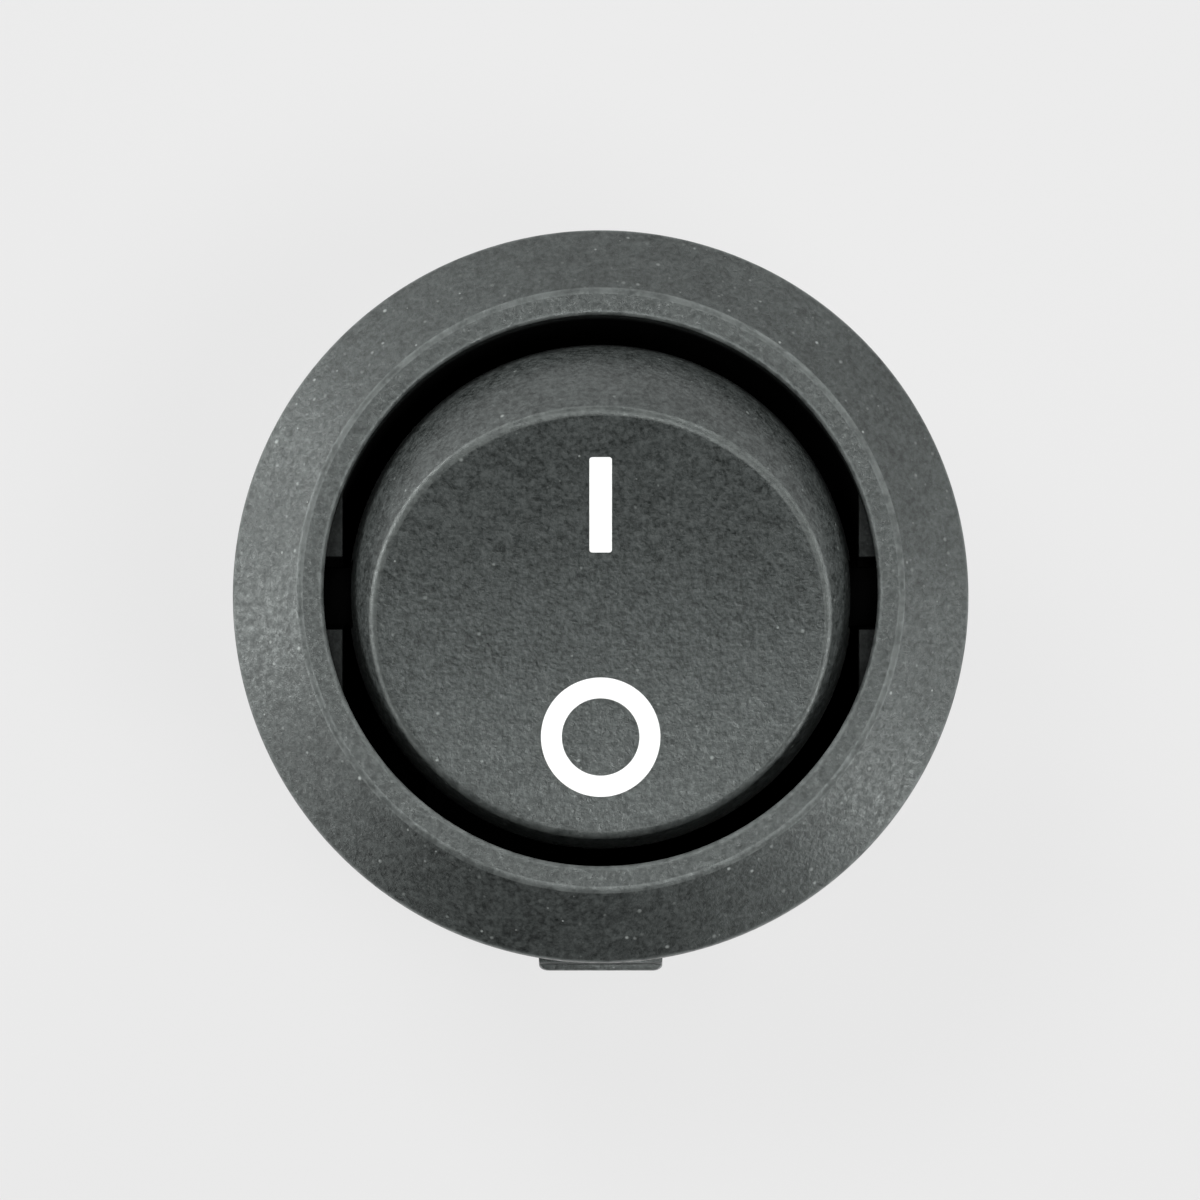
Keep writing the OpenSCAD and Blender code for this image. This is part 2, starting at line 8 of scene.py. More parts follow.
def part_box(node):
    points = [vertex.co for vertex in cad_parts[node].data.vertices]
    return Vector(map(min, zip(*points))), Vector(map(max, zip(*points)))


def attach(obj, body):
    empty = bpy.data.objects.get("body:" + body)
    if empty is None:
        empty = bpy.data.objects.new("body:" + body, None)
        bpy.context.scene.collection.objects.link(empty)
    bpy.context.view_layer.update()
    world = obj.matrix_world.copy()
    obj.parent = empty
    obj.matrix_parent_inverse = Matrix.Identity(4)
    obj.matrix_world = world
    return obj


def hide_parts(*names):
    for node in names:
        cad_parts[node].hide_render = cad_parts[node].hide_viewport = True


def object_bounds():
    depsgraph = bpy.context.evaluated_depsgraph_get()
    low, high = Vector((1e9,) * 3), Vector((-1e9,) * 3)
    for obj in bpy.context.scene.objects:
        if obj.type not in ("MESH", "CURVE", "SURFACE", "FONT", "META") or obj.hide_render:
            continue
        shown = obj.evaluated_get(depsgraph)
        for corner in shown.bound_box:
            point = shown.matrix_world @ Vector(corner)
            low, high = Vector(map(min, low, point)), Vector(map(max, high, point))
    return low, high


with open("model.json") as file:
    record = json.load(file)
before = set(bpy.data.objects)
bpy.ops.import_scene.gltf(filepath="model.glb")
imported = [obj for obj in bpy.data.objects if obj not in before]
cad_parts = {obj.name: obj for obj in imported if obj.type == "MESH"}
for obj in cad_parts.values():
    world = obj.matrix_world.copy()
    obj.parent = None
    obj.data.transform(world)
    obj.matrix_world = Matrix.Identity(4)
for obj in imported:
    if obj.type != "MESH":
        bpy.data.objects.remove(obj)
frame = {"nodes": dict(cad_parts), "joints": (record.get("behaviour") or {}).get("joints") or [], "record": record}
cadBox = [list(corner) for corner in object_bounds()]
print("frame loaded:", len(frame["nodes"]), "nodes")

mm = 0.001
overlap = mm     # how far cutters and joined parts reach past the faces that they meet
joints = {joint["name"]: joint for joint in frame["joints"]}
# the rocker rests tilted by half its travel
rockerTilt = -math.radians(joints["rocker_pivot"]["range_deg"][0]) / 2
offPose = Matrix.Rotation(rockerTilt, 4, "X")

cameraValues = {
    "distance": 0.7,
    "elevation": 84.3,        # degrees above the panel, from the O side
    "fieldWidth": 0.03753,    # width of view at the panel
    "aim": (-0.00002, -0.0001, 0.0),
    "sensorWidth": 36,
    "nearest": 0.01,          # nothing nearer or farther is drawn
    "farthest": 20,
}


def makeCamera(values):
    data = bpy.data.cameras.new("camera")
    camera = bpy.data.objects.new("camera", data)
    bpy.context.collection.objects.link(camera)
    rise = math.radians(values["elevation"])
    towards = Vector((0, -math.cos(rise), math.sin(rise)))
    camera.location = Vector(values["aim"]) + towards * values["distance"]
    camera.rotation_mode = "QUATERNION"
    camera.rotation_quaternion = (-towards).to_track_quat("-Z", "Y")
    data.sensor_width = values["sensorWidth"]
    data.lens = data.sensor_width * values["distance"] / values["fieldWidth"]
    data.clip_start = values["nearest"]
    data.clip_end = values["farthest"]
    bpy.context.scene.camera = camera
    bpy.context.scene.view_settings.view_transform = "Standard"


makeCamera(cameraValues)

stageValues = {
    "floorGap": 0.0001,      # below the tabs
    "floorSize": 3.0,
    "paleTone": 0.8,         # as the camera sees it
    "shadowShare": 0.1,      # how much of the floor's look is lit, so that a faint shadow stays
    "fillStrength": 0.04,    # even light from all sides
}


def addNode(tree, kind, at=(0, 0), **values):
    node = tree.nodes.new(kind)
    node.location = at
    for key, value in values.items():
        if key in node.inputs:
            node.inputs[key].default_value = value
        else:
            setattr(node, key, value)
    return node


def seenRay(tree):
    # 1 for rays that come from the camera, straight, mirrored or through glass
    path = addNode(tree, "ShaderNodeLightPath", (-900, 300))
    first = addNode(tree, "ShaderNodeMath", (-700, 300), operation="MAXIMUM")
    both = addNode(tree, "ShaderNodeMath", (-500, 300), operation="MAXIMUM")
    tree.links.new(path.outputs["Is Camera Ray"], first.inputs[0])
    tree.links.new(path.outputs["Is Glossy Ray"], first.inputs[1])
    tree.links.new(first.outputs[0], both.inputs[0])
    tree.links.new(path.outputs["Is Transmission Ray"], both.inputs[1])
    return both.outputs[0]


def makeFloor(values):
    mesh = bpy.data.meshes.new("paleFloor")
    half = values["floorSize"] / 2
    level = cadBox[0][2] - values["floorGap"]
    corners = [(-half, -half, level), (half, -half, level), (half, half, level), (-half, half, level)]
    mesh.from_pydata(corners, [], [(0, 1, 2, 3)])
    floor = bpy.data.objects.new("paleFloor", mesh)
    bpy.context.collection.objects.link(floor)
    material = bpy.data.materials.new("paleFloor")
    material.use_nodes = True
    tree = material.node_tree
    tree.nodes.clear()
    tone = values["paleTone"]
    lit = addNode(tree, "ShaderNodeBsdfDiffuse", (-300, -100), Color=(tone, tone, tone, 1))
    plain = addNode(tree, "ShaderNodeEmission", (-300, 100), Color=(tone, tone, tone, 1), Strength=1.0)
    share = addNode(tree, "ShaderNodeMath", (-300, 300), operation="MULTIPLY")
    share.inputs[1].default_value = 1 - values["shadowShare"]
    mix = addNode(tree, "ShaderNodeMixShader", (0, 0))
    out = addNode(tree, "ShaderNodeOutputMaterial", (200, 0))
    tree.links.new(seenRay(tree), share.inputs[0])
    tree.links.new(share.outputs[0], mix.inputs["Fac"])
    tree.links.new(lit.outputs[0], mix.inputs[1])
    tree.links.new(plain.outputs[0], mix.inputs[2])
    tree.links.new(mix.outputs[0], out.inputs["Surface"])
    mesh.materials.append(material)


def makeWorld(values):
    world = bpy.data.worlds.new("studio")
    bpy.context.scene.world = world
    world.use_nodes = True
    tree = world.node_tree
    tree.nodes.clear()
    fill = addNode(tree, "ShaderNodeBackground", (0, 0), Color=(1, 1, 1, 1),
                   Strength=values["fillStrength"])
    out = addNode(tree, "ShaderNodeOutputWorld", (200, 0))
    tree.links.new(fill.outputs[0], out.inputs["Surface"])


makeFloor(stageValues)
makeWorld(stageValues)

lampValues = {
    # name: (bearing from +X towards +Y in degrees, elevation in degrees, distance, width, power)
    "overheadLeft": (135, 73, 0.4, 0.11, 0.57),
    "overheadRight": (315, 73, 0.4, 0.11, 0.73),
    "backRight": (30, 40, 0.4, 0.14, 0.2),
    "back": (60, 25, 0.4, 0.14, 0.44),
    "backLeft": (120, 25, 0.4, 0.14, 0.245),
    "right": (0, 10, 0.4, 0.14, 0.35),
    "rightBack": (30, 10, 0.4, 0.14, 0.13),
    "backLow": (90, 10, 0.4, 0.14, 0.15),
    "backLeftLow": (120, 10, 0.4, 0.14, 0.155),
    "leftBack": (150, 10, 0.4, 0.14, 0.63),
    "left": (180, 10, 0.4, 0.14, 0.8),
    "leftFront": (210, 10, 0.4, 0.14, 0.33),
    "frontRight": (300, 10, 0.4, 0.14, 0.1),
    "rightFront": (330, 10, 0.4, 0.14, 0.68),
}


def makeLamps(values):
    for name, (bearing, rise, distance, width, power) in values.items():
        data = bpy.data.lights.new(name, "AREA")
        data.shape = "DISK"
        data.size = width
        data.energy = power
        lamp = bpy.data.objects.new(name, data)
        bpy.context.collection.objects.link(lamp)
        turn, lift = math.radians(bearing), math.radians(rise)
        towards = Vector((math.cos(lift) * math.cos(turn), math.cos(lift) * math.sin(turn), math.sin(lift)))
        lamp.location = towards * distance
        lamp.rotation_mode = "QUATERNION"
        lamp.rotation_quaternion = (-towards).to_track_quat("-Z", "Y")


makeLamps(lampValues)
print("camera, floor and lamps made")


def newGroup(name, inputs, outputs):
    # inputs are names with their usual values, outputs are names
    group = bpy.data.node_groups.new(name, "ShaderNodeTree")
    for label, value in inputs.items():
        socket = group.interface.new_socket(label, in_out="INPUT", socket_type="NodeSocketFloat")
        socket.default_value = value
    for label in outputs:
        group.interface.new_socket(label, in_out="OUTPUT", socket_type="NodeSocketFloat")
    start = addNode(group, "NodeGroupInput", (-1200, 0))
    end = addNode(group, "NodeGroupOutput", (1000, 0))
    return group, start, end


def mapRange(tree, source, low, high, outLow=0.0, outHigh=1.0, at=(0, 0)):
    node = addNode(tree, "ShaderNodeMapRange", at)
    node.inputs["From Min"].default_value = low
    node.inputs["From Max"].default_value = high
    node.inputs["To Min"].default_value = outLow
    node.inputs["To Max"].default_value = outHigh
    tree.links.new(source, node.inputs["Value"])
    return node.outputs["Result"]


def math2(tree, operation, a, b, at=(0, 0)):
    node = addNode(tree, "ShaderNodeMath", at, operation=operation)
    for socket, value in zip(node.inputs, (a, b)):
        if isinstance(value, (int, float)):
            socket.default_value = value
        else:
            tree.links.new(value, socket)
    return node.outputs[0]


grainValues = {
    # noise: scale against the grain's, detail, roughness, lowest and highest value that counts
    "fine": (1.0, 4.0, 0.7, 0.39, 0.61),
    "coarse": (0.36, 2.0, 0.5, 0.38, 0.62),
    "cloud": (0.05, 2.0, 0.5, 0.35, 0.65),
    "gloss": (0.9, 3.0, 0.65, 0.37, 0.63),
    "glossShift": (0.013, 0.007, 0.011),      # takes the gloss from another place than the tone
    "toneShares": (0.62, 0.26, 0.12),         # fine, coarse, cloud
    "heightShares": (0.7, 0.5),               # fine, coarse
    "speckCells": 2900.0,                     # per metre
    "speckReach": (0.1, 0.26),                # smallest and largest, in cells
    "speckFade": 0.7,                         # share of a speck that is soft edge
    "speckStrength": (0.12, 1.0),
    "speckRarity": 4.0,                       # higher leaves fewer strong ones
}


def makeGrainGroup(values):
    # spark-eroded moulding grain: fine mottle, slow clouding and sparse pale specks
    group, start, end = newGroup("mouldGrain", {"Grain Size": 0.00016, "Speck Amount": 0.5},
                                 ["Tone", "Gloss", "Specks", "Height"])
    links = group.links
    place = addNode(group, "ShaderNodeTexCoord", (-1200, 300)).outputs["Object"]
    rate = math2(group, "DIVIDE", 1.0, start.outputs["Grain Size"], (-1000, 0))
    aside = addNode(group, "ShaderNodeVectorMath", (-1000, 500), operation="ADD")
    aside.inputs[1].default_value = values["glossShift"]
    links.new(place, aside.inputs[0])

    def noise(name, at, where=place):
        # the plain noise, and the same spread over 0 to 1
        factor, detail, roughness, low, high = values[name]
        node = addNode(group, "ShaderNodeTexNoise", at, Detail=detail, Roughness=roughness)
        links.new(where, node.inputs["Vector"])
        links.new(math2(group, "MULTIPLY", rate, factor, (at[0] - 200, at[1] - 60)), node.inputs["Scale"])
        return node.outputs["Fac"], mapRange(group, node.outputs["Fac"], low, high, at=(at[0] + 300, at[1]))

    def blend(sources, shares, at):
        # sum of the sources, each times its share
        parts = [math2(group, "MULTIPLY", source, share, (at[0], at[1] + 150 * i))
                 for i, (source, share) in enumerate(zip(sources, shares))]
        total = parts[0]
        for i, part in enumerate(parts[1:]):
            total = math2(group, "ADD", total, part, (at[0] + 200 * (i + 1), at[1]))
        return total

    fine, fineSpread = noise("fine", (-600, 300))
    coarse, coarseSpread = noise("coarse", (-600, 0))
    cloudSpread = noise("cloud", (-600, -300))[1]
    glossSpread = noise("gloss", (-600, 600), aside.outputs[0])[1]
    tone = blend((fineSpread, coarseSpread, cloudSpread), values["toneShares"], (-100, 0))
    height = blend((fine, coarse), values["heightShares"], (-100, 500))

    cells = addNode(group, "ShaderNodeTexVoronoi", (-600, -600), feature="F1", Scale=values["speckCells"])
    links.new(place, cells.inputs["Vector"])
    pick = addNode(group, "ShaderNodeSeparateColor", (-400, -700))
    links.new(cells.outputs["Color"], pick.inputs[0])
    chosen = math2(group, "LESS_THAN", pick.outputs[0], start.outputs["Speck Amount"], (-200, -700))
    reach = mapRange(group, pick.outputs[1], 0, 1, *values["speckReach"], at=(-200, -850))
    away = math2(group, "DIVIDE", cells.outputs["Distance"], reach, (0, -600))
    dot = mapRange(group, math2(group, "SUBTRACT", 1.0, away, (100, -600)), 0, values["speckFade"],
                   at=(200, -600))
    rare = math2(group, "POWER", pick.outputs[2], values["speckRarity"], (0, -850))
    strength = mapRange(group, rare, 0, 1, *values["speckStrength"], at=(200, -850))
    specks = math2(group, "MULTIPLY", math2(group, "MULTIPLY", dot, strength, (400, -600)), chosen,
                   (600, -600))
    for name, output in (("Tone", tone), ("Gloss", glossSpread), ("Specks", specks), ("Height", height)):
        links.new(output, end.inputs[name])
    return group


wearAndHighlightValues = {
    "patches": 2500.0,            # per metre
    "patchDetail": 2.0,
    "patchRange": (0.35, 0.6),    # noise values from least to most worn and lit
    "leastWornAndLit": 0.35,
}


def makeWearAndHighlightGroup(values):
    # mask of outer edges that are worn and carry a painted highlight, from the attribute that markRounds writes
    group, start, end = newGroup("edgeWearAndHighlight", {"Amount": 0.5}, ["Mask"])
    edge = addNode(group, "ShaderNodeAttribute", (-900, 0), attribute_name="roundEdge").outputs["Fac"]
    place = addNode(group, "ShaderNodeTexCoord", (-900, -300)).outputs["Object"]
    patchy = addNode(group, "ShaderNodeTexNoise", (-600, -300), Scale=values["patches"],
                     Detail=values["patchDetail"])
    group.links.new(place, patchy.inputs["Vector"])
    patches = mapRange(group, patchy.outputs["Fac"], *values["patchRange"], values["leastWornAndLit"], 1.0,
                       (-300, -300))
    wornAndLit = math2(group, "MULTIPLY", edge, patches, (0, 0))
    group.links.new(math2(group, "MULTIPLY", wornAndLit, start.outputs["Amount"], (200, 0)), end.inputs["Mask"])
    return group


def makePaintedShadeGroup():
    # mask of painted shade deep in the opening: between two distances from the axis, no farther from the pivots'
    # line than a half width, and growing from the unshaded level to the full one
    group, start, end = newGroup("innerPaintedShade", {"Near": 0.0, "Far": 0.0091, "Half Width": 0.02,
                                               "Unshaded Level": 0.0016, "Full Level": 0.0006}, ["Mask"])
    links = group.links
    place = addNode(group, "ShaderNodeSeparateXYZ", (-900, 0))
    links.new(addNode(group, "ShaderNodeTexCoord", (-1100, 0)).outputs["Object"], place.inputs[0])
    flat = addNode(group, "ShaderNodeCombineXYZ", (-700, 100))
    links.new(place.outputs["X"], flat.inputs["X"])
    links.new(place.outputs["Y"], flat.inputs["Y"])
    reach = addNode(group, "ShaderNodeVectorMath", (-500, 100), operation="LENGTH")
    links.new(flat.outputs[0], reach.inputs[0])
    outside = math2(group, "GREATER_THAN", reach.outputs["Value"], start.outputs["Near"], (-300, 200))
    inside = math2(group, "LESS_THAN", reach.outputs["Value"], start.outputs["Far"], (-300, 0))
    depth = addNode(group, "ShaderNodeMapRange", (-300, -200), interpolation_type="SMOOTHSTEP")
    links.new(place.outputs["Z"], depth.inputs["Value"])
    links.new(start.outputs["Unshaded Level"], depth.inputs["From Min"])
    links.new(start.outputs["Full Level"], depth.inputs["From Max"])
    aside = math2(group, "ABSOLUTE", place.outputs["Y"], 0.0, (-500, -100))
    beside = math2(group, "LESS_THAN", aside, start.outputs["Half Width"], (-300, -100))
    ring = math2(group, "MULTIPLY", outside, inside, (-100, 200))
    band = math2(group, "MULTIPLY", ring, beside, (-100, 100))
    links.new(math2(group, "MULTIPLY", band, depth.outputs["Result"], (100, 0)), end.inputs["Mask"])
    return group


grainGroup = makeGrainGroup(grainValues)
wearAndHighlightGroup = makeWearAndHighlightGroup(wearAndHighlightValues)
paintedShadeGroup = makePaintedShadeGroup()


def newMaterial(name):
    material = bpy.data.materials.new(name)
    material.use_nodes = True
    tree = material.node_tree
    tree.nodes.clear()
    shader = addNode(tree, "ShaderNodeBsdfPrincipled", (600, 0))
    out = addNode(tree, "ShaderNodeOutputMaterial", (900, 0))
    tree.links.new(shader.outputs[0], out.inputs["Surface"])
    return material, tree, shader


def mixColor(tree, factor, a, b, at=(0, 0)):
    node = addNode(tree, "ShaderNodeMix", at, data_type="RGBA")
    tree.links.new(factor, node.inputs[0])
    for socket, value in ((node.inputs[6], a), (node.inputs[7], b)):
        if isinstance(value, (tuple, list)):
            socket.default_value = (*value, 1)
        else:
            tree.links.new(value, socket)
    return node.outputs[2]


def addBump(tree, shader, height, strength, depth):
    bump = addNode(tree, "ShaderNodeBump", (300, -300), Strength=strength, Distance=depth)
    tree.links.new(height, bump.inputs["Height"])
    tree.links.new(bump.outputs[0], shader.inputs["Normal"])


# near-black colour and roughness of the painted shade deep in the opening
paintedShadeValues = {
    "color": (0.004, 0.004, 0.004),
    "roughness": 0.95,
}


def addPaintedShade(tree, shader, color, rough, limits):
    # paints shade on what lies deep in the opening: darkens it to near black and dulls it
    paintedShade = addNode(tree, "ShaderNodeGroup", (100, -500), node_tree=paintedShadeGroup)
    for socket, value in zip(paintedShade.inputs, limits):
        socket.default_value = value
    mask = paintedShade.outputs["Mask"]
    shadedColor = mixColor(tree, mask, color, paintedShadeValues["color"], (450, 200))
    tree.links.new(shadedColor, shader.inputs["Base Color"])
    # on nylon the mask also drives Metallic, so the painted shade loses the plastic's sheen and renders near black
    if not shader.inputs["Metallic"].default_value:
        tree.links.new(mask, shader.inputs["Metallic"])
    dull = addNode(tree, "ShaderNodeMix", (450, -100), data_type="FLOAT")
    tree.links.new(mask, dull.inputs[0])
    tree.links.new(rough, dull.inputs[2])
    dull.inputs[3].default_value = paintedShadeValues["roughness"]
    tree.links.new(dull.outputs[0], shader.inputs["Roughness"])


nylonGloss = {
    "tint": (0.93, 1.0, 0.975, 1),
    "level": 0.57,
}
nylonValues = {
    # roughness: smoothest and roughest
    # painted shade: nearest and farthest from the axis, half width beside the pivots' line, unshaded level, full
    # level
    "housing": {
        "dark": (0.001, 0.0015, 0.0014),
        "light": (0.039, 0.044, 0.0425),
        "speck": (0.27, 0.29, 0.28),
        "wearAndHighlight": (0.11, 0.12, 0.117),
        "grain": 0.00017,
        "specks": 0.75,
        "wearAndHighlightAmount": 0.7,
        "roughness": (0.29, 0.53),
        "bump": 1.0,
        "bumpDepth": 0.000036,
        "paintedShade": (0, 9.1 * mm, 20 * mm, 1.85 * mm, 0.7 * mm),
    },
    "rocker": {
        "dark": (0.002, 0.003, 0.0027),
        "light": (0.051, 0.057, 0.0555),
        "speck": (0.23, 0.25, 0.24),
        "wearAndHighlight": (0.095, 0.104, 0.1),
        "grain": 0.00016,
        "specks": 0.45,
        "wearAndHighlightAmount": 0.5,
        "roughness": (0.31, 0.51),
        "bump": 1.0,
        "bumpDepth": 0.000028,
        "paintedShade": (7.8 * mm, 20 * mm, 1.05 * mm, 3 * mm, 1.5 * mm),
    },
}


def nylonMaterial(name, values):
    material, tree, shader = newMaterial(name)
    shader.inputs["Specular Tint"].default_value = nylonGloss["tint"]
    shader.inputs["Specular IOR Level"].default_value = nylonGloss["level"]
    grain = addNode(tree, "ShaderNodeGroup", (-400, 0), node_tree=grainGroup)
    grain.inputs["Grain Size"].default_value = values["grain"]
    grain.inputs["Speck Amount"].default_value = values["specks"]
    wearAndHighlight = addNode(tree, "ShaderNodeGroup", (-400, -300), node_tree=wearAndHighlightGroup)
    wearAndHighlight.inputs["Amount"].default_value = values["wearAndHighlightAmount"]
    body = mixColor(tree, grain.outputs["Tone"], values["dark"], values["light"], (-100, 200))
    dotted = mixColor(tree, grain.outputs["Specks"], body, values["speck"], (100, 200))
    # rounded edges get a lighter colour: partly wear, partly a painted highlight
    color = mixColor(tree, wearAndHighlight.outputs["Mask"], dotted, values["wearAndHighlight"], (300, 200))
    smoothest, roughest = values["roughness"]
    rough = mapRange(tree, grain.outputs["Gloss"], 0, 1, roughest, smoothest, (100, -100))
    addPaintedShade(tree, shader, color, rough, values["paintedShade"])
    addBump(tree, shader, grain.outputs["Height"], values["bump"], values["bumpDepth"])
    return material


markValues = {
    "white": (0.93, 0.94, 0.935),
    "shade": (0.86, 0.87, 0.865),
    "roughness": (0.42, 0.55),
    "grain": 0.00012,
    "bump": 0.15,
    "bumpDepth": 0.00001,
}


def markMaterial(values):
    material, tree, shader = newMaterial("markWhite")
    grain = addNode(tree, "ShaderNodeGroup", (-400, 0), node_tree=grainGroup)
    grain.inputs["Grain Size"].default_value = values["grain"]
    tone = grain.outputs["Tone"]
    color = mixColor(tree, tone, values["shade"], values["white"], (0, 200))
    tree.links.new(color, shader.inputs["Base Color"])
    rough = mapRange(tree, tone, 0, 1, *values["roughness"], at=(0, -100))
    tree.links.new(rough, shader.inputs["Roughness"])
    addBump(tree, shader, grain.outputs["Height"], values["bump"], values["bumpDepth"])
    return material


metalFinish = {
    "streaks": 9000.0,             # per metre
    "stains": 700.0,
    "detail": 3.0,
    "streakRange": (0.3, 0.7),     # noise values from smooth to rough
    "stainRange": (0.35, 0.65),    # noise values from clean to stained
    "bump": 0.25,
    "bumpDepth": 0.000006,
    # painted shade on the metal that lies deep in the housing
    "paintedShade": (0, 9.1 * mm, 20 * mm, -12.5 * mm, -10.8 * mm),    # in the same order as the nylon's
}
metalValues = {
    # slot: name, color, darker color, roughness from and to, length of the drawn or rolled marks along Z
    "terminal_brass": ("terminalTin", (0.74, 0.72, 0.68), (0.56, 0.54, 0.5), (0.3, 0.48), 12.0),
    "blade_bronze": ("bladeBronze", (0.75, 0.47, 0.3), (0.55, 0.33, 0.2), (0.28, 0.45), 6.0),
    "plunger_brass": ("plungerBrass", (0.8, 0.62, 0.32), (0.6, 0.44, 0.2), (0.25, 0.4), 0.3),
    "spring_steel": ("springSteel", (0.62, 0.62, 0.61), (0.42, 0.42, 0.41), (0.22, 0.38), 1.0),
    "contact_silver": ("contactSilver", (0.88, 0.87, 0.84), (0.68, 0.66, 0.62), (0.22, 0.4), 1.0),
}


def metalMaterial(finish, name, color, dark, roughness, stretch):
    material, tree, shader = newMaterial(name)
    shader.inputs["Metallic"].default_value = 1.0
    place = addNode(tree, "ShaderNodeTexCoord", (-900, 0)).outputs["Object"]
    squeeze = addNode(tree, "ShaderNodeMapping", (-700, 0))
    squeeze.inputs["Scale"].default_value = (1, 1, 1 / stretch)
    tree.links.new(place, squeeze.inputs["Vector"])
    detail = finish["detail"]
    streak = addNode(tree, "ShaderNodeTexNoise", (-500, 0), Scale=finish["streaks"], Detail=detail)
    stain = addNode(tree, "ShaderNodeTexNoise", (-500, -300), Scale=finish["stains"], Detail=detail)
    tree.links.new(squeeze.outputs[0], streak.inputs["Vector"])
    tree.links.new(place, stain.inputs["Vector"])
    stains = mapRange(tree, stain.outputs["Fac"], *finish["stainRange"], at=(-250, -300))
    rough = mapRange(tree, streak.outputs["Fac"], *finish["streakRange"], *roughness)
    addPaintedShade(tree, shader, mixColor(tree, stains, color, dark, (0, 200)), rough, finish["paintedShade"])
    addBump(tree, shader, streak.outputs["Fac"], finish["bump"], finish["bumpDepth"])
    return material


slotMaterials = {
    "housing_nylon": nylonMaterial("housingNylon", nylonValues["housing"]),
    "rocker_nylon": nylonMaterial("rockerNylon", nylonValues["rocker"]),
    "mark_white": markMaterial(markValues),
}
for slot, metal in metalValues.items():
    slotMaterials[slot] = metalMaterial(metalFinish, *metal)
print("materials made:", len(slotMaterials))


def turnOutwards(mesh, merge=0.0):
    work = bmesh.new()
    work.from_mesh(mesh)
    if merge:
        bmesh.ops.remove_doubles(work, verts=work.verts, dist=merge)
    bmesh.ops.recalc_face_normals(work, faces=work.faces)
    work.to_mesh(mesh)
    work.free()


def objectFrom(name, verts, faces, place=None):
    mesh = bpy.data.meshes.new(name)
    mesh.from_pydata([tuple(v) for v in verts], [], faces)
    if place is not None:
        mesh.transform(place)
    turnOutwards(mesh)
    piece = bpy.data.objects.new(name, mesh)
    bpy.context.collection.objects.link(piece)
    return piece


def roundedOutline(corners, steps=6):
    # outline of (x, y, rounding) corners as points
    points = []
    for i, (x, y, r) in enumerate(corners):
        here = Vector((x, y))
        if not r:
            points.append(here)
            continue
        before = (Vector(corners[i - 1][:2]) - here).normalized()
        after = (Vector(corners[(i + 1) % len(corners)][:2]) - here).normalized()
        half = before.angle(after) / 2
        middle = here + (before + after).normalized() * r / math.sin(half)
        first = here + before * r / math.tan(half) - middle
        last = here + after * r / math.tan(half) - middle
        for k in range(steps + 1):
            points.append(middle + (first * (steps - k) + last * k).normalized() * r)
    return points


def arc(middle, radius, start, end, steps):
    # points on an arc from one angle to another, both ends among them
    turns = [start + (end - start) * k / steps for k in range(steps + 1)]
    return [(middle[0] + radius * math.cos(turn), middle[1] + radius * math.sin(turn)) for turn in turns]


def cutOf(rounding):
    # how far the middle of a small rounding lies from both faces
    return 0.3 * rounding


def turned(name, profileAt, segments, place=None):
    # surface from axis to axis; profileAt(angle) gives (radius, height) points, as many at every angle
    onAxis = 1e-9
    verts, rings = [], []
    for s in range(segments):
        angle = 2 * math.pi * s / segments
        for i, (r, z) in enumerate(profileAt(angle)):
            if s == 0:
                rings.append([])
            if r < onAxis and s > 0:
                rings[i].append(rings[i][0])
                continue
            rings[i].append(len(verts))
            verts.append((r * math.cos(angle), r * math.sin(angle), z))
    faces = []
    for low, high in zip(rings, rings[1:]):
        for s in range(segments):
            t = (s + 1) % segments
            loop = [low[s], low[t], high[t], high[s]]
            loop = [v for k, v in enumerate(loop) if v != loop[k - 1]]
            faces.append(loop)
    return objectFrom(name, verts, faces, place)


def prism(name, outline, low, high, place=None):
    # outline in X and Y, pulled from low to high along Z
    n = len(outline)
    verts = [(x, y, low) for x, y in outline] + [(x, y, high) for x, y in outline]
    faces = [list(range(n))[::-1], list(range(n, 2 * n))]
    faces += [[i, (i + 1) % n, n + (i + 1) % n, n + i] for i in range(n)]
    return objectFrom(name, verts, faces, place)


def block(name, low, high, place=None):
    (x0, y0, z0), (x1, y1, z1) = low, high
    return prism(name, [(x0, y0), (x1, y0), (x1, y1), (x0, y1)], z0, z1, place)


def withGuards(points, gap):
    # extra points close to both ends of each long stretch keep a rounding's shading beside it
    full = [points[0]]
    for near, far in zip(points, points[1:]):
        step = Vector(far) - Vector(near)
        if step.length > 3 * gap:
            full += [Vector(near) + step * gap / step.length, Vector(far) - step * gap / step.length]
        full.append(far)
    return full


def soften(piece, width, segments=3, sharpFrom=25):
    # rounds the edges that bend by more than an angle
    step = piece.modifiers.new("soften", "BEVEL")
    step.width = width
    step.segments = segments
    step.limit_method = "ANGLE"
    step.angle_limit = math.radians(sharpFrom)
    applyModifiers(piece)


def applyModifiers(piece):
    bpy.context.view_layer.update()
    shaped = bpy.data.meshes.new_from_object(piece.evaluated_get(bpy.context.evaluated_depsgraph_get()))
    piece.modifiers.clear()
    piece.data = shaped


def circle(r, n=96):
    return arc((0, 0), r, 0, 2 * math.pi, n)[:-1]


def combine(piece, other, operation):
    # boolean with another closed mesh, which is used up
    step = piece.modifiers.new("combine", "BOOLEAN")
    step.operation = operation
    step.solver = "EXACT"
    step.object = other
    applyModifiers(piece)
    bpy.data.objects.remove(other)
    return piece


